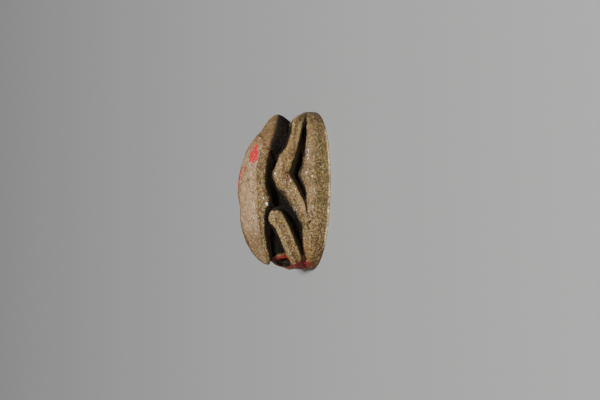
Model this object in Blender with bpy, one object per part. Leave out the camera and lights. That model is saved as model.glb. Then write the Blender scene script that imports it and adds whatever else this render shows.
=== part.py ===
"""Scarab amulet carved from one piece of steatite, with a drilled string bore.

Metres, +Z up. The flat underside lies on z = 0 with the origin at its middle, and +X points
to the beetle's head. The carving is worked out from the stone's own length, width and height.
"""

import math

import bmesh
import bpy
from mathutils import Vector

# The stone before carving: an oval with a flat underside, sides that lean in and a low arched top
LENGTH = 0.0160
WIDTH = 0.0115
HEIGHT = 0.0070
WIDEST = 0.0006
PLAN_POWER = 2.15

# The base that the beetle stands on
BASE_HEIGHT = 0.0022
BASE_END_HEIGHT = 0.0013
BASE_BULGE_HEIGHT = 0.0006
KNEE_SWELL = 0.00045

# The beetle over the base
LEGS_WIDTH = 0.0105
BACK_WIDTH = 0.0082
BACK_ARCH = 0.0006
HEAD_EDGE = 0.0006
GROOVE_DEPTH = 0.0014
LEG_THICKNESS = 0.0016

# The string bore, drilled a little off the middle line
BORE_DIAMETER = 0.0014
BORE_TAIL = (-0.0008, 0.0034)
BORE_HEAD = (0.0001, 0.0026)

# The incised border between the shield and the wing cases
LINE_WIDTH = 0.00030
LINE_DEPTH = 0.00010

HALF_LENGTH = LENGTH / 2
RIM_HEIGHT = HEIGHT - BACK_ARCH
LEG_RADIUS = LEG_THICKNESS / 2


def clear_scene():
    for old in list(bpy.data.objects):
        bpy.data.objects.remove(old, do_unlink=True)


def new_collection(name):
    collection = bpy.data.collections.new(name)
    bpy.context.scene.collection.children.link(collection)
    return collection


def stone_material():
    material = bpy.data.materials.new("glazed steatite")
    material.use_nodes = True
    shader = material.node_tree.nodes["Principled BSDF"]
    shader.inputs["Base Color"].default_value = (0.19, 0.135, 0.08, 1.0)
    shader.inputs["Roughness"].default_value = 0.5
    shader.inputs["Metallic"].default_value = 0.0
    return material


def add_mesh(name, bm, collection):
    """A body with flat faces alone, so that every form that is joined bounds a clear volume."""
    bmesh.ops.triangulate(bm, faces=bm.faces[:])
    mesh = bpy.data.meshes.new(name)
    bm.to_mesh(mesh)
    bm.free()
    body = bpy.data.objects.new(name, mesh)
    collection.objects.link(body)
    return body


# Curves that the stone and its carving follow


def blend(low, high, share):
    return low + (high - low) * min(max(share, 0.0), 1.0)


def arc(share, power):
    """Half-width of an oval, as a share of its widest, at a share of its half-length."""
    return max(1.0 - abs(share) ** power, 0.0) ** (1.0 / power)


def oval(x, reach):
    """Width of the stone's egg-shaped plan at x, as a share of its widest."""
    room = reach - WIDEST if x > WIDEST else reach + WIDEST
    return arc((x - WIDEST) / room, PLAN_POWER)


def on_curve(a, b, power):
    """The point on the superellipse of this power that lies in the direction (a, b)."""
    size = (abs(a) ** power + abs(b) ** power) ** (1.0 / power)
    return (a / size, b / size) if size > 1e-9 else (0.0, 0.0)


def flank(x, z):
    """Half-width of the uncarved stone over the base, at x and height z."""
    share = (z - BASE_HEIGHT) / (RIM_HEIGHT - BASE_HEIGHT)
    half_width = blend(LEGS_WIDTH, BACK_WIDTH, share) / 2
    reach = HALF_LENGTH * blend(0.97, 0.88, share)
    return half_width * oval(x, reach)


def base_top(x):
    """Height of the base, which thins to its ends and swells towards the folded knee."""
    share = abs(x) / HALF_LENGTH
    swell = KNEE_SWELL * math.exp(-(((x / HALF_LENGTH - 0.14) / 0.10) ** 2))
    return BASE_HEIGHT - (BASE_HEIGHT - BASE_END_HEIGHT) * share ** 3 + swell


def back_top(x):
    """Height of the back along its middle, arched to the head and to the tail."""
    fall = 0.115 if x > 0 else 0.240
    reach = 0.65 if x > 0 else 0.91
    power = 1.8 if x > 0 else 2.15
    return HEIGHT * (1.0 - fall * (abs(x) / (reach * HALF_LENGTH)) ** power)


def back_rim(x):
    """Height of the back's lower edge, which dips to both ends and over the hind leg."""
    fall = 0.265 if x > 0 else 0.225
    reach = 0.69 if x > 0 else 0.906
    power = 2.2 if x > 0 else 4.0
    dip = 0.095 * math.exp(-(((x / HALF_LENGTH + 0.19) / 0.09) ** 2))
    return RIM_HEIGHT * (1.0 - fall * (abs(x) / (reach * HALF_LENGTH)) ** power - dip)


def back_surface(x, y):
    """Height of the back's surface at x and y."""
    half_width = BACK_WIDTH / 2 * oval(x, 0.93 * HALF_LENGTH)
    return back_rim(x) + (back_top(x) - back_rim(x)) * arc(y / half_width, 3.0)


# Forms that are joined into the stone


def pebble(name, collection, middle, ends, half_width, heights, powers, detail, lean=(0.0, 0.0)):
    """A rounded slab from a sphere: oval in plan, squarer at its rim, between two curved faces.

    middle is where it is widest, ends are its head end and its tail end, heights gives the
    lower face, the rim and the upper face as functions of x, powers are those of its plan, its
    lower edge and its upper edge, and lean is how fast length and width close in with height.
    """
    plan_power, lower_power, upper_power = powers
    low, rim, high = heights
    bm = bmesh.new()
    bmesh.ops.create_uvsphere(bm, u_segments=detail[0], v_segments=detail[1], radius=1.0)
    for vertex in bm.verts:
        flat = math.hypot(vertex.co.x, vertex.co.y)
        out, up = on_curve(flat, vertex.co.z, upper_power if vertex.co.z > 0 else lower_power)
        along, across = on_curve(vertex.co.x, vertex.co.y, plan_power)
        x = middle + out * along * (ends[0] - middle if along > 0 else middle - ends[1])
        z = rim(x) + up * (high(x) - rim(x) if up > 0 else rim(x) - low(x))
        shorter = 1.0 - lean[0] * (z - BASE_HEIGHT)
        narrower = 1.0 - lean[1] * (z - BASE_HEIGHT)
        vertex.co = (x * shorter, out * across * half_width * narrower, z)
    return add_mesh(name, bm, collection)


def base_form(collection):
    body = pebble(
        "base form",
        collection,
        middle=WIDEST,
        ends=(HALF_LENGTH, -HALF_LENGTH),
        half_width=WIDTH / 2,
        heights=(lambda x: -BASE_HEIGHT, lambda x: BASE_BULGE_HEIGHT, base_top),
        powers=(PLAN_POWER, 6.0, 6.0),
        detail=(64, 20),
    )
    bm = bmesh.new()
    bm.from_mesh(body.data)
    cut = bmesh.ops.bisect_plane(
        bm,
        geom=bm.verts[:] + bm.edges[:] + bm.faces[:],
        dist=1e-7,
        plane_co=(0, 0, 0),
        plane_no=(0, 0, -1),
        clear_outer=True,
    )
    rim = [edge for edge in cut["geom_cut"] if isinstance(edge, bmesh.types.BMEdge)]
    bmesh.ops.contextual_create(bm, geom=rim)
    bmesh.ops.recalc_face_normals(bm, faces=bm.faces[:])
    bmesh.ops.triangulate(bm, faces=bm.faces[:])
    bm.to_mesh(body.data)
    bm.free()
    return body


def core_form(collection):
    """What is left of the stone behind the legs, from the base up into the back."""
    core_width = LEGS_WIDTH / 2 - GROOVE_DEPTH
    narrowing = (LEGS_WIDTH - BACK_WIDTH) / 2 / (RIM_HEIGHT - BASE_HEIGHT) / core_width
    return pebble(
        "core form",
        collection,
        middle=WIDEST,
        ends=(0.79 * HALF_LENGTH, -0.99 * HALF_LENGTH),
        half_width=core_width,
        heights=(
            lambda x: 0.2 * BASE_HEIGHT,
            lambda x: 0.8 * BASE_HEIGHT,
            lambda x: back_rim(x) + 0.2 * (back_top(x) - back_rim(x)),
        ),
        powers=(PLAN_POWER, 6.0, 6.0),
        detail=(48, 16),
        lean=(0.1 * narrowing, narrowing),
    )


def back_form(collection):
    """The wing cases and the shield before them, as one low arched slab."""
    return pebble(
        "back form",
        collection,
        middle=WIDEST,
        ends=(0.79 * HALF_LENGTH, -0.96 * HALF_LENGTH),
        half_width=BACK_WIDTH / 2,
        heights=(lambda x: back_rim(x) - 0.115 * HEIGHT, back_rim, back_top),
        powers=(2.2, 2.0, 3.0),
        detail=(64, 18),
    )


def head_form(collection):
    """The head, a wedge that slopes down and forwards over a keel that runs back to the base."""
    tip = 0.956 * HALF_LENGTH

    def crest(x):
        return 0.63 * HEIGHT + 0.43 * (tip - x)

    return pebble(
        "head form",
        collection,
        middle=0.50 * HALF_LENGTH,
        ends=(tip, 0.10 * HALF_LENGTH),
        half_width=0.31 * WIDTH,
        heights=(lambda x: 0.3 * BASE_HEIGHT, lambda x: crest(x) - HEAD_EDGE, crest),
        powers=(2.0, 1.5, 2.5),
        detail=(40, 16),
    )


# Routes of the legs, from the head end: share of the half-length, of the height and of the leg's
# radius. The front and the middle leg meet in the ball of the folded knee, and the hind leg's own
# folded knee is a ball under the back's rim.
RIGHT_FOOT = ((0.93, 0.18, 0.35), (0.88, 0.25, 0.60))
LEFT_FOOT = ((0.87, 0.23, 0.40),)
FRONT_LEG = ((0.81, 0.34, 0.80), (0.64, 0.42, 1.02), (0.48, 0.49, 1.08), (0.30, 0.57, 1.15))
KNEE = (0.13, 0.63, 1.18)
KNEE_BALL = (0.13, 0.63, 1.28)
MIDDLE_LEG = (
    (0.04, 0.58, 1.26),
    (-0.08, 0.50, 1.17),
    (-0.24, 0.40, 1.05),
    (-0.37, 0.325, 0.90),
    (-0.49, 0.265, 0.68),
    (-0.62, 0.21, 0.42),
)
HIND_BALL = (-0.395, 0.70, 1.40)
HIND_LEG = (
    (-0.385, 0.80, 0.95),
    (-0.39, 0.695, 1.30),
    (-0.45, 0.645, 1.32),
    (-0.54, 0.575, 1.26),
    (-0.70, 0.475, 1.10),
    (-0.84, 0.365, 0.98),
    (-0.92, 0.29, 0.80),
    (-0.95, 0.25, 0.50),
)


def on_flank(along, up, thick, side):
    """Middle of a leg of this thickness, just inside the flank of the uncarved stone."""
    x = along * HALF_LENGTH
    z = up * HEIGHT
    return (x, side * (flank(x, z) - thick * LEG_RADIUS), z)


def leg_form(name, collection, route, side):
    """A rounded bar whose outer edge lies on the flank of the uncarved stone."""
    curve = bpy.data.curves.new(name, "CURVE")
    curve.dimensions = "3D"
    curve.bevel_depth = LEG_RADIUS
    curve.bevel_resolution = 4
    curve.resolution_u = 3
    curve.use_fill_caps = True
    spline = curve.splines.new("BEZIER")
    spline.bezier_points.add(len(route) - 1)
    for point, (along, up, thick) in zip(spline.bezier_points, route):
        point.co = on_flank(along, up, thick, side)
        point.radius = thick
        point.handle_left_type = "AUTO"
        point.handle_right_type = "AUTO"
    return curve_as_mesh(name, collection, curve)


def knee_form(name, collection, ball, side):
    bm = bmesh.new()
    bmesh.ops.create_uvsphere(bm, u_segments=20, v_segments=12, radius=ball[2] * LEG_RADIUS)
    bmesh.ops.translate(bm, vec=on_flank(*ball, side), verts=bm.verts[:])
    return add_mesh(name, bm, collection)


def curve_as_mesh(name, collection, curve):
    drawn = bpy.data.objects.new(name + " curve", curve)
    collection.objects.link(drawn)
    bpy.context.view_layer.update()
    graph = bpy.context.evaluated_depsgraph_get()
    mesh = bpy.data.meshes.new_from_object(drawn.evaluated_get(graph))
    bpy.data.objects.remove(drawn, do_unlink=True)
    bm = bmesh.new()
    bm.from_mesh(mesh)
    bmesh.ops.remove_doubles(bm, verts=bm.verts[:], dist=1e-6)
    bmesh.ops.recalc_face_normals(bm, faces=bm.faces[:])
    bpy.data.meshes.remove(mesh)
    return add_mesh(name, bm, collection)


# Cutters


def bore_cutter(collection):
    """The string bore, from the tail's end to under the head, open past both."""
    tail = Vector((-HALF_LENGTH, *BORE_TAIL))
    head = Vector((HALF_LENGTH, *BORE_HEAD))
    overrun = (head - tail).normalized() * BORE_DIAMETER
    bm = bmesh.new()
    bmesh.ops.create_cone(
        bm,
        cap_ends=True,
        segments=20,
        radius1=BORE_DIAMETER / 2,
        radius2=BORE_DIAMETER / 2,
        depth=(head - tail + 2 * overrun).length,
    )
    turn = (head - tail).to_track_quat("Z", "Y").to_matrix()
    bmesh.ops.rotate(bm, cent=(0, 0, 0), matrix=turn, verts=bm.verts[:])
    bmesh.ops.translate(bm, vec=(head + tail) / 2, verts=bm.verts[:])
    return add_mesh("bore cutter", bm, collection)


def line_cutter(name, collection, places):
    """A thin tube along the back's surface, sunk so far that it cuts a line LINE_DEPTH deep."""
    lift = LINE_WIDTH / 2 - LINE_DEPTH
    curve = bpy.data.curves.new(name, "CURVE")
    curve.dimensions = "3D"
    curve.bevel_depth = LINE_WIDTH / 2
    curve.bevel_resolution = 1
    curve.use_fill_caps = True
    spline = curve.splines.new("POLY")
    spline.points.add(len(places) - 1)
    for point, (x, y) in zip(spline.points, places):
        point.co = (x, y, back_surface(x, y) + lift, 1.0)
    return curve_as_mesh(name, collection, curve)


def border_cutter(collection):
    """The line across the back where the shield ends and the wing cases start."""
    places = []
    for step in range(-8, 9):
        across = step / 8
        places.append(((0.10 - 0.04 * across ** 2) * HALF_LENGTH, 0.47 * BACK_WIDTH * across))
    return line_cutter("border cutter", collection, places)


def add_boolean(body, collection, operation):
    """Joins the body with all bodies of the collection at once, or cuts them all from it."""
    for other in collection.objects:
        other.hide_render = True
        other.display_type = "WIRE"
    modifier = body.modifiers.new(collection.name, "BOOLEAN")
    modifier.operation = operation
    modifier.solver = "EXACT"
    modifier.operand_type = "COLLECTION"
    modifier.collection = collection


def build():
    clear_scene()
    parts = new_collection("scarab amulet")
    forms = new_collection("forms")
    cutters = new_collection("cutters")

    scarab = core_form(parts)
    scarab.name = "scarab"
    scarab.data.name = "scarab"
    base_form(forms)
    back_form(forms)
    head_form(forms)
    for side, side_name, foot in ((-1, "right", RIGHT_FOOT), (1, "left", LEFT_FOOT)):
        leg_form("front leg " + side_name, forms, (*foot, *FRONT_LEG, KNEE), side)
        knee_form("knee " + side_name, forms, KNEE_BALL, side)
        leg_form("middle leg " + side_name, forms, (KNEE, *MIDDLE_LEG), side)
        leg_form("hind leg " + side_name, forms, HIND_LEG, side)
        knee_form("hind knee " + side_name, forms, HIND_BALL, side)
    bore_cutter(cutters)
    border_cutter(cutters)
    add_boolean(scarab, forms, "UNION")
    add_boolean(scarab, cutters, "DIFFERENCE")

    scarab.data.materials.append(stone_material())
    scarab.data.shade_smooth()
    scarab.data.set_sharp_from_angle(angle=math.radians(40))


build()
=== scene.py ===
import math
import random

import bmesh
import bpy
import numpy as np
from mathutils import Matrix, Vector, kdtree, noise
from mathutils.bvhtree import BVHTree


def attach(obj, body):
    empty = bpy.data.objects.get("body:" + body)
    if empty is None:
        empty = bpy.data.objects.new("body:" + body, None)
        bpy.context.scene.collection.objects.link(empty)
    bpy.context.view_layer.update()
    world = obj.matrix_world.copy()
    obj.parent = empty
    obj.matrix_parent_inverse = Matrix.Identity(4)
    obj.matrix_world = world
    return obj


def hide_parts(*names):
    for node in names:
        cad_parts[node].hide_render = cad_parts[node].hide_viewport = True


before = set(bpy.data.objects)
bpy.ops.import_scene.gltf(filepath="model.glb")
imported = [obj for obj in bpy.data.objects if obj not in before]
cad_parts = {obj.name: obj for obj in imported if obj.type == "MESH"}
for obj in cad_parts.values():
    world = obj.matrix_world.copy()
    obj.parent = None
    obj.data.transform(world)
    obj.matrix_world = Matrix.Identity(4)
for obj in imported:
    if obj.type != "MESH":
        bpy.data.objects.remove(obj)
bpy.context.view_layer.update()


# The view: a long lens that looks at the beetle's right flank, a little from above and from
# the tail, and is turned so that the head points up in the picture.
VIEW_DOWN = math.radians(18.0)
VIEW_FROM_TAIL = math.radians(6.5)
VIEW_AWAY = 0.3
PIXELS_PER_METRE = 9900.0
PICTURE_WIDTH = 600
PICTURE_MIDDLE = (300.0, 200.0)
STONE_IN_PICTURE = (312.7, 191.0)
SENSOR = 36.0

look = Vector(
    (
        math.sin(VIEW_FROM_TAIL),
        math.cos(VIEW_FROM_TAIL) * math.cos(VIEW_DOWN),
        -math.cos(VIEW_FROM_TAIL) * math.sin(VIEW_DOWN),
    )
)
picture_up = (Vector((1, 0, 0)) - look * look.x).normalized()
picture_right = look.cross(picture_up)
shift_right = (PICTURE_MIDDLE[0] - STONE_IN_PICTURE[0]) / PIXELS_PER_METRE
shift_up = (STONE_IN_PICTURE[1] - PICTURE_MIDDLE[1]) / PIXELS_PER_METRE
looked_at = picture_right * shift_right + picture_up * shift_up

camera = bpy.data.objects.new("camera", bpy.data.cameras.new("camera"))
bpy.context.scene.collection.objects.link(camera)
camera.data.sensor_width = SENSOR
camera.data.lens = SENSOR * VIEW_AWAY * PIXELS_PER_METRE / PICTURE_WIDTH
camera.data.clip_start = 0.01
camera.matrix_world = Matrix.Translation(looked_at - look * VIEW_AWAY) @ Matrix(
    (picture_right, picture_up, -look)
).transposed().to_4x4()
bpy.context.scene.camera = camera


# The scarab: one pebble of steatite, carved, glazed and worn by handling and burial. The packed
# solid is turned into an even, fine skin, and the wear is worked into that skin in millimetres.
MM = 0.001
SKIN_GRAIN = 0.096
SKIN_SOFTENING = 2
HALF_LENGTH = 8.0
WIDEST = 0.6
PLAN_POWER = 2.15
BASE_HEIGHT = 2.2
BASE_END_HEIGHT = 1.3
KNEE_SWELL = 0.45
RIM_HEIGHT = 6.4
LEGS_WIDTH = 10.5
BACK_WIDTH = 8.2
BORE_TAIL = Vector((-8.0, -0.8, 3.4))
BORE_HEAD = Vector((8.0, 0.1, 2.6))
BORE_RADIUS = 0.7

# How far the plan reaches at the base, as a share of the stone, and what it loses by the rim
LOW_REACH = 0.97
REACH_LOSS = 0.09

# The lower edge of the back falls towards both ends and dips between the middle and hind legs
RIM_TO_HEAD = {"fall": 0.265, "reach": 5.52, "power": 2.2}
RIM_TO_TAIL = {"fall": 0.225, "reach": 7.25, "power": 4.0}
RIM_DIP = 0.095
RIM_DIP_AT = -0.19
RIM_DIP_LENGTH = 0.09

# Middles of the folded legs as seen from the side, from head to tail: along, up and half-thickness
FRONT_LEG = (
    (7.0, 1.7, 0.5),
    (6.5, 2.4, 0.62),
    (5.1, 2.95, 0.68),
    (3.8, 3.4, 0.74),
    (2.4, 4.0, 0.90),
    (1.0, 4.4, 0.95),
)
MIDDLE_LEG = (
    (1.0, 4.4, 0.98),
    (0.3, 4.06, 1.0),
    (-0.6, 3.5, 0.94),
    (-1.9, 2.8, 0.84),
    (-3.0, 2.3, 0.72),
    (-4.4, 1.7, 0.45),
)
HIND_LEG = (
    (-3.1, 4.9, 0.88),
    (-3.6, 4.5, 0.86),
    (-4.3, 4.0, 0.83),
    (-5.6, 3.3, 0.76),
    (-6.7, 2.55, 0.70),
    (-7.5, 1.9, 0.52),
)

draw = random.Random(11)


def merged_copy(node):
    """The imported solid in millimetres, with its loose triangles joined."""
    bm = bmesh.new()
    bm.from_mesh(node.data)
    bmesh.ops.remove_doubles(bm, verts=bm.verts[:], dist=1e-7)
    bmesh.ops.scale(bm, vec=(1 / MM, 1 / MM, 1 / MM), verts=bm.verts[:])
    mesh = bpy.data.meshes.new("scarab stone")
    bm.to_mesh(mesh)
    bm.free()
    body = bpy.data.objects.new("scarab_stone", mesh)
    bpy.context.scene.collection.objects.link(body)
    return body


def even_skin(body, grain, softening):
    """Gives the body a skin of small even faces and softens its edges, as long handling does."""
    remesh = body.modifiers.new("even skin", "REMESH")
    remesh.mode = "VOXEL"
    remesh.voxel_size = grain
    remesh.use_smooth_shade = True
    bpy.context.view_layer.update()
    graph = bpy.context.evaluated_depsgraph_get()
    bm = bmesh.new()
    bm.from_mesh(body.evaluated_get(graph).data)
    body.modifiers.clear()
    for _ in range(softening):
        bmesh.ops.smooth_vert(
            bm, verts=bm.verts[:], factor=0.5, use_axis_x=True, use_axis_y=True, use_axis_z=True
        )
    bm.to_mesh(body.data)
    bm.free()


def places(mesh):
    flat = np.empty(len(mesh.vertices) * 3)
    mesh.vertices.foreach_get("co", flat)
    return flat.reshape(-1, 3)


def outward(mesh):
    flat = np.empty(len(mesh.vertices) * 3)
    mesh.vertex_normals.foreach_get("vector", flat)
    return flat.reshape(-1, 3)


def moved_out(mesh, amount):
    """Moves each point of the skin along its normal by its amount, in millimetres."""
    co = places(mesh) + outward(mesh) * np.asarray(amount)[:, None]
    mesh.vertices.foreach_set("co", co.ravel())
    mesh.update()


def spread(mesh, values, rounds):
    """Averages values with those of their neighbours on the skin."""
    ends = np.empty(len(mesh.edges) * 2, dtype=np.int64)
    mesh.edges.foreach_get("vertices", ends)
    a, b = ends.reshape(-1, 2).T
    count = np.bincount(a, minlength=len(values)) + np.bincount(b, minlength=len(values))
    for _ in range(rounds):
        total = np.bincount(a, weights=values[b], minlength=len(values))
        total = total + np.bincount(b, weights=values[a], minlength=len(values))
        values = 0.5 * values + 0.5 * total / count
    return values


def crest_and_hollow(mesh):
    """How strongly the skin bulges at each point: above zero on edges, below it in creases."""
    co = places(mesh)
    mean = np.stack([spread(mesh, co[:, i], 6) for i in range(3)], axis=1)
    return ((co - mean) * outward(mesh)).sum(axis=1) / SKIN_GRAIN


def share(values, low, high):
    """Runs smoothly from 0 at low to 1 at high."""
    t = np.clip((values - low) / (high - low), 0.0, 1.0)
    return t * t * (3.0 - 2.0 * t)


def within(values, low, high, soft):
    """1 between low and high, fading to 0 over a soft margin outside them."""
    return share(values, low - soft, low) * (1.0 - share(values, high, high + soft))


def grain(co, size, seed):
    """Even noise between about -1 and 1 at each place, with lumps of the given size."""
    offset = Vector((seed * 17.3, seed * 5.1, seed * 9.7))
    return np.array([noise.noise(Vector(p) / size + offset) for p in co])


def oval(x, reach):
    """Width of the stone's egg-shaped plan at x, as a share of its widest."""
    room = np.where(x > WIDEST, reach - WIDEST, reach + WIDEST)
    out = np.minimum(np.abs(x - WIDEST) / room, 1.0)
    return (1.0 - out ** PLAN_POWER) ** (1 / PLAN_POWER)


def sunk(co):
    """Depth of each place under the flank that the stone had before the legs were carved."""
    x, y, z = co.T
    up = np.clip((z - BASE_HEIGHT) / (RIM_HEIGHT - BASE_HEIGHT), 0.0, 1.0)
    half_width = (LEGS_WIDTH + (BACK_WIDTH - LEGS_WIDTH) * up) / 2
    reach = HALF_LENGTH * (LOW_REACH - REACH_LOSS * up)
    room = np.where(x > WIDEST, reach - WIDEST, reach + WIDEST)
    out = np.abs(x - WIDEST) / room
    size = (out ** PLAN_POWER + (np.abs(y) / half_width) ** PLAN_POWER) ** (1 / PLAN_POWER)
    return (1.0 - size) * np.hypot(x - WIDEST, y) / np.maximum(size, 0.05)


def rim_of_back(x):
    """Height of the lower edge of the beetle's back."""
    fall, reach, power = (
        np.where(x > 0, RIM_TO_HEAD[key], RIM_TO_TAIL[key]) for key in ("fall", "reach", "power")
    )
    dip = RIM_DIP * np.exp(-(((x / HALF_LENGTH - RIM_DIP_AT) / RIM_DIP_LENGTH) ** 2))
    return RIM_HEIGHT * (1.0 - fall * (np.abs(x) / reach) ** power - dip)


def across_leg(co, route):
    """Place across a leg, from -1 at its lower side to 1 at its upper side, and along it from 0
    to 1. Places beside it are given as 9."""
    x, _, z = co.T
    best = np.full(len(co), 9.0)
    near = np.full(len(co), 9.0)
    along = np.zeros(len(co))
    for number, (start, end) in enumerate(zip(route[:-1], route[1:])):
        run = np.array((end[0] - start[0], end[1] - start[1]))
        length = float(np.hypot(*run))
        run = run / length
        t = np.clip(((x - start[0]) * run[0] + (z - start[1]) * run[1]) / length, 0.0, 1.0)
        beside_x = x - start[0] - t * length * run[0]
        beside_z = z - start[1] - t * length * run[1]
        away = np.hypot(beside_x, beside_z)
        half = start[2] + t * (end[2] - start[2])
        side = np.where(beside_x * run[1] - beside_z * run[0] > 0, 1.0, -1.0)
        closer = away / half < near
        near = np.where(closer, away / half, near)
        best = np.where(closer, side * away / half, best)
        along = np.where(closer, (number + t) / (len(route) - 1), along)
    return np.where(near < 1.5, best, 9.0), along


def from_line(points, route):
    """Shortest way from each point to a line of points."""
    result = np.full(len(points), 99.0)
    for start, end in zip(route[:-1], route[1:]):
        start = np.array(start, dtype=float)
        run = np.array(end, dtype=float) - start
        t = np.clip(((points - start) @ run) / (run @ run), 0.0, 1.0)
        result = np.minimum(result, np.linalg.norm(points - start - t[:, None] * run, axis=1))
    return result


# The openness found here paints shade further on: places closed to the air get darker colour, and
# rays that run down to the floor count as mostly closed, so faces turned down get more painted
# shade
SKY_RAYS = 48
GOLDEN_TURN = 2.399963
RAY_REACH = 6.0
RAY_START = 0.03
GRAZING = 0.12
FLOOR_LIGHT = 0.25


def openness(mesh):
    """How open each point is to the air over it, from 0 deep in a groove to 1 on the back."""
    co = places(mesh)
    normals = outward(mesh)
    tree = BVHTree.FromPolygons(co.tolist(), [tuple(p.vertices) for p in mesh.polygons])
    rays = []
    for i in range(SKY_RAYS):
        up = 1.0 - 2.0 * (i + 0.5) / SKY_RAYS
        turn = i * GOLDEN_TURN
        flat = math.sqrt(1.0 - up * up)
        rays.append(Vector((flat * math.cos(turn), flat * math.sin(turn), up)))
    table = np.array(rays)
    facing = normals @ table.T
    floor_share = np.where(table[:, 2] < -0.05, FLOOR_LIGHT, 1.0)
    result = np.zeros(len(co))
    for index in range(len(co)):
        start = Vector(co[index] + normals[index] * RAY_START)
        total = 0.0
        free = 0.0
        row = facing[index]
        for ray in np.nonzero(row > GRAZING)[0]:
            total += row[ray]
            if tree.ray_cast(start, rays[ray], RAY_REACH)[0] is None:
                free += row[ray] * floor_share[ray]
        result[index] = free / total
    return result


scarab = merged_copy(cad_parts["scarab"])
even_skin(scarab, SKIN_GRAIN, SKIN_SOFTENING)
skin = scarab.data

# What belongs to which part of the beetle. These masks, and x, y and z below, keep the places
# that the points had before the wear.
KNEE_AT = 0.14
KNEE_REACH = 0.10
SHIELD_FRONT = 5.3
SHIELD_CURVE = 0.13

co = places(skin)
x, y, z = co.T
depth = sunk(co)
rim = rim_of_back(x)
base_top = BASE_HEIGHT - (BASE_HEIGHT - BASE_END_HEIGHT) * np.abs(x / HALF_LENGTH) ** 3
base_top += KNEE_SWELL * np.exp(-(((x / HALF_LENGTH - KNEE_AT) / KNEE_REACH) ** 2))
on_base = 1.0 - share(z, base_top + 0.05, base_top + 0.25)
front_line = SHIELD_FRONT - SHIELD_CURVE * y ** 2
on_back = share(z, rim - 0.35, rim - 0.15) * (1.0 - share(x, front_line - 0.05, front_line + 0.05))
on_head = share(x, front_line - 0.05, front_line + 0.05) * share(z, 3.0, 3.4) * (1.0 - on_base)
outer = (1.0 - share(depth, 0.75, 1.1)) * (1.0 - on_base) * (1.0 - on_back) * (1.0 - on_head)
legs = {}
for name, route in (("front", FRONT_LEG), ("middle", MIDDLE_LEG), ("hind", HIND_LEG)):
    legs[name] = across_leg(co, route)
nearest = np.min([np.abs(side) for side, _ in legs.values()], axis=0)

# The head's lower edges are rounder than the stone's other edges
HEAD_ROUNDING = 50

rounder = share(x, 2.9, 3.9) * share(z, 2.9, 3.4) * share(nearest, 1.0, 1.4)
rounder = rounder * share(np.abs(y), 0.8, 1.6)
rounded = np.stack([spread(skin, co[:, i], HEAD_ROUNDING) for i in range(3)], axis=1)
skin.vertices.foreach_set("co", (co + rounder[:, None] * (rounded - co)).ravel())
skin.update()

# Unevenness of hand carving, then wear: convex edges lose most
UNEVEN = 0.045
RIPPLE = 0.024
EDGE_LOSS = 0.05

bulge = spread(skin, crest_and_hollow(skin), 3)
edge = share(bulge, 0.07, 0.22)
shape = UNEVEN * grain(co, 2.4, 1) + RIPPLE * grain(co, 0.7, 2)
shape -= EDGE_LOSS * edge * (0.5 + 0.5 * share(grain(co, 1.1, 3), -0.2, 0.5))

# Details cut with the point of a graver: hollows along the legs, the front line of the shield,
# nicks on the shoulders of the wing cases, and a framed pattern of strokes on the underside
SLIMMER = 0.19
CROWN = 0.17
LEG_HOLLOW = 0.11
LOWER_CORNER = 0.11
UPPER_CORNER = 0.07
HOLLOW_PLACES = {"front": (0.25, 0.28), "middle": (0.35, 0.30), "hind": (0.40, 0.32)}
LEDGE_DEPTH = 0.035
LINE_DEPTH = 0.10
LINE_LIP = 0.07
NICK_DEPTH = 0.05
NICKS = (
    ((1.05, 2.0), (0.35, 2.35), (-0.35, 2.15)),
    ((1.05, -2.0), (0.35, -2.35), (-0.35, -2.15)),
    ((0.9, -0.25), (0.2, -0.55), (-0.35, -1.2)),
)

facing_out = share(np.abs(outward(skin)[:, 1]), 0.45, 0.85)
shape -= CROWN * nearest ** 3 * (nearest < 1.2) * outer * facing_out * within(x, -6.8, 6.0, 0.6)
slimmer_along = {
    "front": share(x, 1.8, 4.6) * (1.0 - share(x, 5.6, 6.4)),
    "hind": 0.7 * within(x, -6.9, -2.4, 0.8),
}
for name, place in slimmer_along.items():
    side, _ = legs[name]
    beside = within(np.abs(side), 0.85, 1.30, 0.15) * (1.0 - on_base) * (1.0 - on_back)
    shape -= SLIMMER * (1.0 - facing_out) * beside * place
for name, (middle, width) in HOLLOW_PLACES.items():
    side, along = legs[name]
    inner_length = within(along, 0.10, 0.90, 0.10)
    shape -= LEG_HOLLOW * np.exp(-(((side - middle) / width) ** 2)) * inner_length * outer
    shape += LOWER_CORNER * np.exp(-(((side + 0.32) / 0.24) ** 2)) * inner_length * outer
    shape += UPPER_CORNER * np.exp(-(((side - 0.80) / 0.16) ** 2)) * inner_length * outer
ledge = within(base_top - z, 0.45, 0.60, 0.12) * share(np.abs(y), 1.0, 2.0)
shape -= LEDGE_DEPTH * ledge * (0.4 + 0.6 * share(grain(co, 1.6, 21), -0.4, 0.3))
shield_step = np.exp(-(((x - front_line - 0.10) / 0.13) ** 2)) * share(z, rim - 0.6, rim - 0.2)
shape -= LINE_DEPTH * shield_step
shape += LINE_LIP * np.exp(-(((x - front_line + 0.18) / 0.15) ** 2)) * on_back
nicks = np.full(len(co), 9.0)
for route in NICKS:
    nicks = np.minimum(nicks, from_line(co[:, :2], route))
nick = (1.0 - share(nicks, 0.04, 0.16)) * share(z, 6.2, 6.5)
shape -= NICK_DEPTH * nick

UNDERSIDE_TO_HEAD = 7.4
UNDERSIDE_TO_TAIL = 8.6
UNDERSIDE_HALF_WIDTH = 5.75
FRAME_AT = 0.84
STROKE_ROWS = (-3.2, -1.6, 0.0, 1.6, 3.2)
STROKE_GAP = 0.62
STROKE_SLANT = 0.55
STROKE_DEPTH = 0.09

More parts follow.
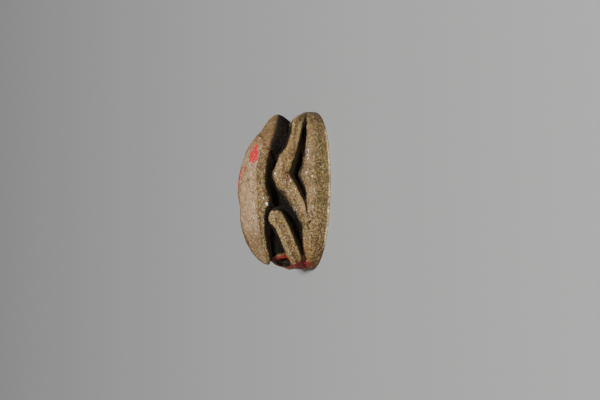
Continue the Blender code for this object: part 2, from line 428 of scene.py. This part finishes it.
beneath = 1.0 - share(z, 0.02, 0.10)
to_end = np.where(x > WIDEST, UNDERSIDE_TO_HEAD, UNDERSIDE_TO_TAIL)
plan = np.abs((x - WIDEST) / to_end) ** PLAN_POWER + np.abs(y / UNDERSIDE_HALF_WIDTH) ** PLAN_POWER
plan = plan ** (1 / PLAN_POWER)
cut = 1.0 - share(np.abs(plan - FRAME_AT), 0.008, 0.022)
for number, row in enumerate(STROKE_ROWS):
    lean = STROKE_SLANT if number % 2 else -STROKE_SLANT
    place = (x - lean * (y - row)) / STROKE_GAP
    stroke = 1.0 - share(np.abs(place - np.round(place)), 0.09, 0.20)
    stroke *= 1.0 - share(np.abs(y - row), 0.45, 0.58)
    cut = np.maximum(cut, stroke * (1.0 - share(plan, FRAME_AT - 0.10, FRAME_AT - 0.06)))
lift = np.zeros_like(co)
lift[:, 2] = STROKE_DEPTH * cut * beneath
standing = share(z, 0.0, 0.5)
moved_out(skin, shape * standing)
skin.vertices.foreach_set("co", (places(skin) + lift).ravel())
skin.update()

# Pits and chips: many small pits all over, larger ones along edges and in a trail by the base
PITS = 1100
CHIPS = 50
PIT_TRAIL = (
    (-2.77, -5.06, 1.8),
    (-3.42, -5.05, 1.69),
    (-3.64, -4.73, 1.79),
    (-3.92, -4.6, 1.94),
    (-4.35, -4.38, 1.83),
)

co = places(skin)
tree = kdtree.KDTree(len(co))
for index, place in enumerate(co):
    tree.insert(place, index)
tree.balance()
dents = np.zeros(len(co))


def dent(centre, width, depth):
    for _, index, away in tree.find_range(centre, width):
        dents[index] = max(dents[index], depth * (1.0 - (away / width) ** 2) ** 2)


for _ in range(PITS):
    width = draw.uniform(0.10, 0.24)
    dent(co[draw.randrange(len(co))], width, width * draw.uniform(0.15, 0.45))
on_edge = np.nonzero(edge > 0.5)[0]
for _ in range(CHIPS):
    width = draw.uniform(0.18, 0.42)
    dent(co[on_edge[draw.randrange(len(on_edge))]], width, width * draw.uniform(0.10, 0.20))
for place in PIT_TRAIL:
    dent(place, 0.22, 0.12)
moved_out(skin, -dents * share(co[:, 2], 0.0, 0.2))

# Grain of the weathered surface
GRAIN_DEPTH = 0.016
co = places(skin)
moved_out(skin, GRAIN_DEPTH * grain(co, 0.16, 5) * share(co[:, 2], 0.02, 0.2))


def keep(name, values):
    attribute = skin.attributes.new(name, "FLOAT", "POINT")
    attribute.data.foreach_set("value", np.asarray(values, dtype=np.float32))


# Dirt and painted shade: dark colour packed in the grooves and inside the bore, and painted shade
# on the head's lower side, under the back's edge and along the legs' sides turned from the lamp
open_air = spread(skin, openness(skin), 2)
normals = outward(skin)
on_leg = np.zeros(len(co))
for name, (side, _) in legs.items():
    shaded = share(side, 0.5, 0.9) * share(-x, -0.2, 0.9) if name == "middle" else 0.0
    deep = share(depth, 0.90 - 0.65 * shaded, 1.25 - 0.45 * shaded)
    on_leg = np.maximum(on_leg, (1.0 - share(np.abs(side), 0.90, 1.16)) * (1.0 - deep))
between = share(z, base_top - 0.02, base_top + 0.16) * (1.0 - share(z, rim - 0.42, rim - 0.22))
groove = between * (1.0 - on_leg) * share(depth, 0.15, 0.45) * (1.0 - share(x, 5.6, 6.2))
# Painted shade on the head's lower side, below a slanting line across the head
low_on_head = 0.309 * np.abs(y) - 0.951 * z + 4.22 - 0.202 * (x - 3.9)
under_head = share(low_on_head, -0.50, 0.38) * share(x, 3.3, 3.7)
under_head = under_head * share(z, base_top + 0.3, base_top + 0.8)
under_head = under_head * (1.0 - on_leg) * share(np.abs(y), 0.5, 1.3)
# Painted shade on the legs' lower sides, and on the upper side of the middle leg where the back
# shades it
legs_own = {}
soft_sides = np.zeros(len(co))
for name, (side, _) in legs.items():
    legs_own[name] = outer * (np.abs(side) <= nearest + 0.02) * (nearest < 1.4)
    lower_side = (1.0 - share(side, -0.88, -0.42)) * (0.7 if name == "front" else 1.0)
    upper_side = share(side, 0.45, 1.05) * share(-x, -0.2, 0.9) * (1.0 if name == "middle" else 0.0)
    soft_sides = np.maximum(soft_sides, legs_own[name] * np.maximum(lower_side, upper_side))
soft_sides = soft_sides * within(x, -7.0, 5.4, 0.6)
# Painted shade on faces that turn down under the back's edge
below_rim = share(-normals[:, 2], 0.25, 0.60) * share(z, rim - 1.2, rim - 0.9) * (1.0 - on_leg)
under = np.maximum(under_head, below_rim * (1.0 - on_head))
# Inside the bore, darkened: dirt and painted shade
bore_run = np.array((BORE_HEAD - BORE_TAIL).normalized())
from_axis = co - np.array(BORE_TAIL)
from_axis = from_axis - np.outer(from_axis @ bore_run, bore_run)
tube = np.linalg.norm(from_axis, axis=1)
inward = -(normals * from_axis).sum(axis=1) / np.maximum(tube, 0.05)
inside_bore = (1.0 - share(tube, BORE_RADIUS + 0.02, BORE_RADIUS + 0.16)) * share(inward, 0.1, 0.5)
keep("open", open_air)
keep("coarse", spread(skin, 1.0 - 0.55 * on_head, 3))
keep("groove", spread(skin, np.maximum(np.maximum(groove, inside_bore), 0.72 * soft_sides), 1))
keep("under", spread(skin, under, 2))
keep("bulge", spread(skin, crest_and_hollow(skin), 2) * (1.0 - soft_sides))
keep("dent", np.maximum(dents, 0.06 * nick))

# Colour of the stone from part to part, before its grain, with painted shade on sides turned from
# the lamp and painted highlights on edges and ridges that face it
PINK_TAN = (0.37, 0.235, 0.135)
LOW_TAN = (0.270, 0.172, 0.088)
FRONT_TAN = (0.235, 0.108, 0.056)
SHOULDER = (0.088, 0.054, 0.022)
BROWN_MARK = (0.16, 0.075, 0.032)
AMBER = (0.155, 0.088, 0.034)
LEG_GOLD = (0.183, 0.121, 0.051)
LEG_RIDGE = (0.275, 0.190, 0.088)
LEG_EDGE = (0.24, 0.165, 0.075)
LOWER_SIDE = (0.065, 0.038, 0.015)
LEG_BROWN = (0.130, 0.072, 0.024)
LEDGE = (0.192, 0.121, 0.064)
BASE_TAN = (0.138, 0.089, 0.038)
BASE_OLIVE = (0.105, 0.080, 0.030)
BASE_END = (0.085, 0.054, 0.025)
WORN_LINE_AND_HIGHLIGHT = (0.98, 0.74, 0.38)
STAIN = (0.22, 0.085, 0.045)
DARK_STAIN = (0.095, 0.030, 0.018)

tone = np.tile(np.array(LEG_GOLD), (len(co), 1))


def tint(values, colour):
    global tone
    tone = tone + (np.array(colour) - tone) * np.clip(values, 0.0, 1.0)[:, None]


half_back = BACK_WIDTH / 2 * np.maximum(oval(x, 0.93 * HALF_LENGTH), 0.05)
wavy = 0.06 * grain(co, 1.3, 31)
mottled = wavy + 0.10 * grain(co, 0.30, 32)
# The back's top is pink tan, lighter than the flank partly as painted light where it faces the
# lamp; towards its sides it turns dark brown, partly the stone's own brown and partly painted shade
tint(on_back, PINK_TAN)
tint(on_back * share(-x, 2.0, 6.0), LOW_TAN)
tint(on_back * share(np.abs(y) / half_back + mottled, 0.60, 0.80), SHOULDER)
tint(on_back * share(x + 4 * wavy, 3.2, 4.4) * 0.85, FRONT_TAN)
tint(on_head, AMBER)
# On each leg, besides its own olive and brown: painted shade on the lower side, and painted
# highlights on the ridge and on the upper edge of the front and hind legs
for name in ("front", "middle", "hind"):
    side, _ = legs[name]
    mine = legs_own[name]
    tint(mine * (0.35 if name == "middle" else 0.0), BASE_OLIVE)
    tint(within(side, 0.10, 0.60, 0.20) * mine * (0.75 if name == "hind" else 0.6), LEG_BROWN)
    tint((1.0 - share(side, -0.85, -0.42)) * mine * 0.7, LOWER_SIDE)
    tint(within(side, -0.30, -0.10, 0.13) * mine * (0.5 if name == "front" else 1.0), LEG_RIDGE)
    tint(within(side, 0.80, 0.95, 0.12) * mine * (0.0 if name == "middle" else 0.75), LEG_EDGE)
knee = np.linalg.norm(np.column_stack([x - 0.6, z - 4.3]), axis=1)
tint(0.9 * np.exp(-((knee / 1.5) ** 2)) * (1.0 - on_back), LEG_BROWN)
tint(on_base, BASE_TAN)
tint(on_base * within(base_top - z, -0.20, 0.25, 0.12) * within(x, -5.5, 5.0, 1.5) * 0.65, LEDGE)
tint(on_base * within(base_top - z, 0.45, 0.60, 0.12) * 0.5, LEG_BROWN)
tint(on_base * within(x, -1.8, 4.3, 0.9) * within(z, 0.75, 1.40, 0.25) * 0.85, BASE_OLIVE)
tint(on_base * share(-x, 3.8, 6.4) * 0.75, LEG_BROWN)
tint(on_base * share(x + 4 * wavy, 6.1, 7.1) * 0.85, BASE_END)
tint(share(x + 4 * wavy, 6.0, 7.3) * outer * 0.5, BASE_END)
# Along the base's lower edge: a pale worn line, made brighter as a painted highlight
worn_edge_and_highlight = (1.0 - share(z, 0.13, 0.27)) * share(z, -0.02, 0.02) * within(x, -5.5, 5.2, 0.8)
tint(worn_edge_and_highlight * share(grain(co, 0.9, 41), -0.9, -0.2), WORN_LINE_AND_HIGHLIGHT)
tint(0.8 * np.exp(-(from_line(co, ((4.4, -3.0, 5.9), (3.5, -3.6, 5.8))) / 0.35) ** 2), STAIN)
knee_stain = np.exp(-(from_line(co, ((1.5, -4.7, 4.3), (0.4, -4.8, 4.1))) / 0.42) ** 2)
tint(knee_stain * share(grain(co, 0.22, 42), -0.15, 0.25), DARK_STAIN)
# Painted shade just under the back's lower edge
below_edge = share(rim + 0.26 - z, 0.0, 0.30) * share(z, rim - 0.6, rim - 0.4)
tint(below_edge * within(x, -7.0, 4.6, 0.4) * (1.0 - on_leg) * 0.85, LOWER_SIDE)
marked = 0.8 * np.exp(-((nicks / 0.30) ** 2)) * on_back
tint(marked * share(grain(co, 0.4, 45), -0.4, 0.2), BROWN_MARK)
border = np.abs(x - (0.10 - 0.04 * (y / 3.85) ** 2) * HALF_LENGTH)
border_line = 0.7 * (1.0 - share(border, 0.06, 0.20)) * on_back
tint(border_line * share(grain(co, 0.8, 43), -0.5, 0.1), LEG_BROWN)
tint(0.9 * shield_step * share(grain(co, 0.6, 44), -0.5, 0.2), LOWER_SIDE)
colours = skin.attributes.new("tone", "FLOAT_COLOR", "POINT")
toned = np.column_stack([tone, np.ones(len(tone))]).astype(np.float32)
colours.data.foreach_set("color", toned.ravel())

# Old red paint: daubs and streaks on the back, a ring round the bore's mouth at the tail and
# patches beside the ends of the hind legs
DAUBS = (
    (((3.95, -0.2), (4.1, -0.9), (4.1, -1.6)), 0.17),
    (((3.4, 0.1), (3.2, -0.5), (3.5, -1.3), (3.3, -2.1), (2.95, -2.3)), 0.30),
    (((2.9, -2.3), (2.95, -1.6), (3.1, -0.8), (3.0, -0.2)), 0.40),
    (((2.55, -1.4), (2.75, -1.9)), 0.38),
    (((3.75, -0.5), (3.6, -1.0)), 0.26),
    (((2.1, 2.5), (1.5, 2.9), (0.9, 3.1)), 0.50),
)
STREAK = ((2.2, 1.1), (1.8, 1.4), (1.2, 1.9))
TAIL_DAUBS = (
    ((-7.75, -0.9, 2.5), 0.75),
    ((-7.75, -1.4, 1.9), 0.80),
    ((-7.9, -0.8, 1.5), 0.70),
    ((-7.7, -1.7, 1.1), 0.60),
)

ragged = 0.05 * grain(co, 0.35, 51)
blotted = 0.16 * grain(co, 0.75, 53)
paint = np.zeros(len(co))
broken = 0.45 * share(grain(co, 0.42, 52), -0.15, 0.30) * share(-x, -2.5, -2.2)
for route, width in DAUBS:
    away = from_line(co[:, :2], route) + ragged + blotted + broken
    paint = np.maximum(paint, 1.0 - share(away, width - 0.05, width + 0.03))
paint = paint * share(z, 5.5, 5.9)
streak = 0.62 * (1.0 - share(from_line(co[:, :2], STREAK) + 3 * ragged, 0.25, 0.55))
streak = streak * share(z, 5.5, 5.9)
ring = within(tube + ragged, BORE_RADIUS + 0.04, BORE_RADIUS + 0.35 + 5 * ragged, 0.06)
ring = ring * share(-x, 6.3, 6.7)
for place, width in TAIL_DAUBS:
    away = np.linalg.norm(co - np.array(place), axis=1)
    ring = np.maximum(ring, 1.0 - share(away + 4 * ragged, width - 0.10, width + 0.06))
keep("paint", spread(skin, paint, 1))
keep("old_paint", spread(skin, np.maximum(ring * 0.95, streak), 1) * (1.0 - inside_bore))

# Glints: painted highlights, near-white spots in the base colour where the stone shines, most of
# them along the back and at chips
GLINTS = (
    ((-1.90, -3.95, 6.12), 0.17),
    ((-2.06, -3.98, 6.04), 0.15),
    ((-1.41, -3.85, 6.40), 0.09),
    ((1.11, -4.08, 5.31), 0.11),
    ((3.54, -4.50, 1.98), 0.11),
    ((3.05, -4.45, 2.04), 0.12),
    ((2.70, -4.60, 2.04), 0.12),
    ((1.24, -5.18, 2.35), 0.11),
    ((0.80, -5.63, 1.93), 0.10),
    ((-2.60, -3.90, 3.15), 0.13),
    ((-2.45, -3.70, 3.40), 0.09),
    ((2.99, -2.57, 6.58), 0.07),
)
SMALL_GLINTS = 160
BAND_GLINTS = 90

glint = np.zeros(len(co))


def shine(centre, width, strength):
    for _, index, away in tree.find_range(centre, width):
        glint[index] = max(glint[index], strength * (1.0 - (away / width) ** 2))


for place, width in GLINTS:
    shine(place, width, 1.2)
    shine((place[0], -place[1] + 0.4, place[2]), width * 0.7, 1.0)
airy = np.nonzero((open_air > 0.66) & (under < 0.1) & (soft_sides < 0.3))[0]
for _ in range(SMALL_GLINTS):
    shine(co[airy[draw.randrange(len(airy))]], draw.uniform(0.06, 0.12), draw.uniform(0.1, 0.7))
for _ in range(BAND_GLINTS):
    place = tree.find((draw.gauss(-0.2, 2.6), draw.gauss(-1.6, 0.60), 6.7))[0]
    shine(place, draw.uniform(0.07, 0.11), draw.uniform(0.4, 1.1))
keep("glint", glint)

# Where fine painted highlights lie close, as white specks in the base colour: a band along each
# side of the back, the knees and the lower ends of the middle legs. Each place has a width and an
# amount.
SPARKLING = (
    ((0.6, 4.9, 4.0), 1.0, 0.45),
    ((-2.4, 4.0, 3.3), 0.8, 0.9),
    ((3.3, 4.5, 2.0), 0.6, 0.7),
    ((-2.5, 4.9, 1.9), 1.1, 0.35),
)

sparkle = np.maximum(np.exp(-(((y + 1.45) / 0.85) ** 2)), 0.7 * np.exp(-(((y - 2.1) / 0.6) ** 2)))
sparkle = sparkle * (0.45 + 0.25 * share(grain(co, 0.8, 61), -0.3, 0.4))
sparkle = sparkle * np.exp(-(((x + 0.4) / 3.4) ** 2)) * on_back
for place, width, amount in SPARKLING:
    away = np.linalg.norm(np.column_stack([x, np.abs(y), z]) - np.array(place), axis=1)
    sparkle = np.maximum(sparkle, amount * np.exp(-((away / width) ** 2)))
keep("sparkle", sparkle * share(open_air, 0.45, 0.65))

# Where fine black pits lie close: a trail from the middle leg's end and the bend of the knee.
# The knee's inner corner has rusty grains too. Both flanks are alike.
PITTED = (
    (PIT_TRAIL, 0.24),
    (((1.4, -4.7, 4.25), (0.3, -4.8, 4.1)), 0.42),
    (((-1.8, -5.0, 2.3), (-2.8, -5.0, 1.9)), 0.22),
)
RUSTY_SPREAD = 0.75

right_side = np.column_stack([x, -np.abs(y), z])
pitted = 0.0
for route, width in PITTED:
    pitted = np.maximum(pitted, np.exp(-((from_line(right_side, route) / width) ** 2)))
keep("pitted", pitted)
from_corner = np.linalg.norm(np.column_stack([x - 0.8, np.abs(y) - 4.9, z - 4.15]), axis=1)
keep("rusty", np.exp(-((from_corner / RUSTY_SPREAD) ** 2)))

bm = bmesh.new()
bm.from_mesh(skin)
bmesh.ops.scale(bm, vec=(MM, MM, MM), verts=bm.verts[:])
bm.to_mesh(skin)
bm.free()
skin.shade_smooth()


# The stone's colours, from buried and worn glaze: brown and olive grain, dark dirt and painted
# shade in the grooves, and painted highlights
material = bpy.data.materials.new("weathered steatite")
material.use_nodes = True
nodes = material.node_tree.nodes
links = material.node_tree.links
shader = nodes["Principled BSDF"]


def node(kind, **values):
    made = nodes.new(kind)
    for key, value in values.items():
        setattr(made, key, value)
    return made


def noise_at(size, detail, roughness, seed):
    """Noise on the object's own coordinates, with lumps of a size in millimetres."""
    made = node("ShaderNodeTexNoise")
    links.new(mapped.outputs["Vector"], made.inputs["Vector"])
    made.noise_dimensions = "4D"
    made.inputs["W"].default_value = seed
    made.inputs["Scale"].default_value = 1.0 / size
    made.inputs["Detail"].default_value = detail
    made.inputs["Roughness"].default_value = roughness
    return made.outputs["Fac"]


def ramp(value, low, high, start=0.0, end=1.0):
    """Smooth step of a value between low and high."""
    made = node("ShaderNodeMapRange", interpolation_type="SMOOTHSTEP")
    links.new(value, made.inputs["Value"])
    made.inputs["From Min"].default_value = low
    made.inputs["From Max"].default_value = high
    made.inputs["To Min"].default_value = start
    made.inputs["To Max"].default_value = end
    return made.outputs["Result"]


def mixed(share_of_second, first, second, kind="MIX"):
    made = node("ShaderNodeMix", data_type="RGBA", blend_type=kind)
    for value, socket in ((share_of_second, 0), (first, 6), (second, 7)):
        if isinstance(value, (tuple, float)):
            made.inputs[socket].default_value = value
        else:
            links.new(value, made.inputs[socket])
    return made.outputs[2]


def maths(kind, first, second=0.0):
    made = node("ShaderNodeMath", operation=kind)
    for value, socket in ((first, 0), (second, 1)):
        if isinstance(value, float):
            made.inputs[socket].default_value = value
        else:
            links.new(value, made.inputs[socket])
    return made.outputs[0]


def kept(name):
    return node("ShaderNodeAttribute", attribute_name=name).outputs["Fac"]


def grey(value):
    return (value, value, value, 1.0)


place = node("ShaderNodeTexCoord")
mapped = node("ShaderNodeMapping")
mapped.inputs["Scale"].default_value = (1 / MM, 1 / MM, 1 / MM)
links.new(place.outputs["Object"], mapped.inputs["Vector"])

GOLD_GRAIN_AND_HIGHLIGHT = (0.34, 0.225, 0.085, 1.0)
RUST = (0.150, 0.060, 0.022, 1.0)
OLIVE = (0.115, 0.098, 0.030, 1.0)
DARK = (0.028, 0.019, 0.011, 1.0)
# Near-black dirt that also serves as painted shade, and a lighter dust in the most closed hollows
# that stands in for the faint light there: painted fill light
DIRT_AND_SHADE = (0.0072, 0.0054, 0.0039, 1.0)
DEEP_DUST_AND_FILL = (0.085, 0.063, 0.042, 1.0)
PALE = (0.62, 0.50, 0.34, 1.0)
RUSTY_GRAIN = (0.100, 0.032, 0.020, 1.0)
WHITE = (0.95, 0.90, 0.84, 1.0)
RED = (0.57, 0.032, 0.034, 1.0)
DARK_RED = (0.20, 0.024, 0.018, 1.0)

stone = node("ShaderNodeAttribute", attribute_name="tone").outputs["Color"]
cloud_share = ramp(noise_at(1.1, 3.0, 0.6, 1.0), 0.32, 0.68)
stone = mixed(1.0, stone, mixed(cloud_share, grey(0.80), grey(1.16)), "MULTIPLY")
stone = mixed(ramp(noise_at(0.7, 3.0, 0.6, 2.0), 0.50, 0.68, 0.0, 0.40), stone, OLIVE)
stone = mixed(ramp(noise_at(0.45, 3.0, 0.6, 3.0), 0.50, 0.66, 0.0, 0.50), stone, RUST)
stone = mixed(ramp(noise_at(0.26, 3.0, 0.7, 12.0), 0.46, 0.64, 0.0, 0.60), stone, GOLD_GRAIN_AND_HIGHLIGHT)
# Convex edges turn golden: rubbed edges with a painted highlight on them
stone = mixed(ramp(kept("bulge"), 0.08, 0.45, 0.0, 0.30), stone, GOLD_GRAIN_AND_HIGHLIGHT)
fine = mixed(ramp(noise_at(0.11, 2.0, 0.7, 15.0), 0.36, 0.62), grey(0.46), grey(1.50))
stone = mixed(kept("coarse"), stone, mixed(1.0, stone, fine, "MULTIPLY"))
specks = ramp(noise_at(0.13, 2.0, 0.65, 4.0), 0.55, 0.66, 0.0, 0.60)
specks = maths("MULTIPLY", specks, kept("coarse"))
stone = mixed(specks, stone, DARK)
stone = mixed(ramp(noise_at(0.12, 2.0, 0.65, 5.0), 0.60, 0.68, 0.0, 0.70), stone, PALE)
stone = mixed(ramp(kept("dent"), 0.03, 0.10, 0.0, 0.75), stone, DARK)
pitting = maths("ADD", noise_at(0.15, 2.0, 0.7, 17.0), ramp(kept("pitted"), 0.0, 1.0, 0.0, 0.15))
stone = mixed(ramp(pitting, 0.68, 0.71, 0.0, 0.9), stone, DIRT_AND_SHADE)
# Dirt and painted shade: darker where the skin is closed to the air, in the grooves and on the
# sides turned from the lamp, with the lighter dust colour in the most closed places
closed = maths("ADD", kept("open"), ramp(noise_at(0.5, 2.0, 0.6, 6.0), 0.3, 0.7, -0.06, 0.06))
dirt_and_shade = ramp(closed, 0.46, 0.28)
uneven = maths("ADD", kept("groove"), ramp(noise_at(0.30, 3.0, 0.6, 9.0), 0.3, 0.7, -0.15, 0.15))
dirt_and_shade = maths("MAXIMUM", dirt_and_shade, ramp(uneven, 0.15, 0.80))
dirt_and_shade = maths("MAXIMUM", dirt_and_shade, ramp(kept("under"), 0.05, 0.95, 0.0, 0.97))
dirt_and_shade = maths("MULTIPLY", dirt_and_shade, ramp(noise_at(0.15, 2.0, 0.7, 20.0), 0.58, 0.68, 1.0, 0.82))
thin_paint = ramp(noise_at(0.22, 2.0, 0.6, 14.0), 0.50, 0.66, 0.0, 0.45)
paint_share = maths("MAXIMUM", kept("paint"), kept("old_paint"))
worn_paint = maths("ADD", paint_share, ramp(noise_at(0.2, 2.0, 0.6, 13.0), 0.3, 0.7, -0.28, 0.12))
painted = ramp(worn_paint, 0.35, 0.65)
stone = mixed(dirt_and_shade, stone, mixed(ramp(kept("open"), 0.42, 0.20), DIRT_AND_SHADE, DEEP_DUST_AND_FILL))
rusty = maths("ADD", noise_at(0.16, 2.0, 0.7, 19.0), ramp(kept("rusty"), 0.0, 1.0, 0.0, 0.20))
stone = mixed(ramp(rusty, 0.70, 0.75, 0.0, 0.85), stone, RUSTY_GRAIN)
faded = maths("MAXIMUM", ramp(kept("old_paint"), 0.2, 0.7), thin_paint)
stone = mixed(painted, stone, mixed(faded, RED, DARK_RED))
# Painted highlights: glints and fine sparkling specks turn the base colour near white
sparkle_crowding = ramp(kept("sparkle"), 0.0, 1.0, 0.0, 0.165)
sparkling = maths("ADD", noise_at(0.15, 2.0, 0.7, 16.0), sparkle_crowding)
sparkling = maths("MULTIPLY", ramp(sparkling, 0.68, 0.72, 0.0, 0.9), maths("SUBTRACT", 1.0, dirt_and_shade))
shining = maths("ADD", kept("glint"), ramp(noise_at(0.12, 2.0, 0.7, 18.0), 0.3, 0.7, -0.35, 0.15))
white = maths("MAXIMUM", ramp(shining, 0.10, 0.75), sparkling)
stone = mixed(white, stone, WHITE)
links.new(stone, shader.inputs["Base Color"])

dull = maths("MAXIMUM", ramp(noise_at(0.2, 2.0, 0.6, 7.0), 0.3, 0.7, 0.42, 0.75), dirt_and_shade)
glossy = maths("MAXIMUM", white, maths("MULTIPLY", painted, 0.10))
links.new(mixed(glossy, dull, grey(0.38)), shader.inputs["Roughness"])
shader.inputs["Specular IOR Level"].default_value = 0.14
shader.inputs["Coat Roughness"].default_value = 0.25
glazed = ramp(noise_at(0.22, 2.0, 0.6, 11.0), 0.58, 0.70, 0.0, 0.6)
coat = maths("MULTIPLY", maths("SUBTRACT", 1.0, dirt_and_shade), glazed)
links.new(maths("MAXIMUM", coat, glossy), shader.inputs["Coat Weight"])

bump = node("ShaderNodeBump")
bump.inputs["Strength"].default_value = 0.9
bump.inputs["Distance"].default_value = 0.00008
links.new(noise_at(0.20, 3.0, 0.7, 8.0), bump.inputs["Height"])
links.new(bump.outputs["Normal"], shader.inputs["Normal"])

skin.materials.clear()
skin.materials.append(material)
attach(scarab, "root")
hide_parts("scarab")


# The pale table top that the scarab stands on: a plain matt board, much wider than the stone,
# so that none of its edges shows from any side.
FLOOR_REACH = 2.5
BOARD_GREY = (0.27, 0.27, 0.266, 1)
BOARD_ROUGHNESS = 0.9

bm = bmesh.new()
bmesh.ops.create_grid(bm, x_segments=1, y_segments=1, size=FLOOR_REACH)
bmesh.ops.recalc_face_normals(bm, faces=bm.faces[:])
floor = bpy.data.objects.new("floor", bpy.data.meshes.new("floor"))
bm.to_mesh(floor.data)
bm.free()
bpy.context.scene.collection.objects.link(floor)
paper = bpy.data.materials.new("pale grey board")
paper.use_nodes = True
board = paper.node_tree.nodes["Principled BSDF"]
board.inputs["Base Color"].default_value = BOARD_GREY
board.inputs["Roughness"].default_value = BOARD_ROUGHNESS
floor.data.materials.append(paper)


# Soft studio light: a main light high over the seen flank, a weak one from the viewer's side,
# and a faint cool light from all round that keeps the grooves from going black.
SKY = (0.9, 0.93, 1.0, 1.0)
SKY_STRENGTH = 0.095


def lamp(name, place, size, power):
    made = bpy.data.objects.new(name, bpy.data.lights.new(name, "AREA"))
    bpy.context.scene.collection.objects.link(made)
    made.data.size = size
    made.data.energy = power
    made.location = place
    made.rotation_euler = Vector(place).to_track_quat("Z", "Y").to_euler()


lamp("main light", place=(0.02, -0.265, 0.425), size=0.10, power=4.3)
lamp("side light", place=(-0.14, -0.43, 0.17), size=0.25, power=0.26)

world = bpy.data.worlds.new("studio")
bpy.context.scene.world = world
world.use_nodes = True
world.node_tree.nodes["Background"].inputs["Color"].default_value = SKY
world.node_tree.nodes["Background"].inputs["Strength"].default_value = SKY_STRENGTH
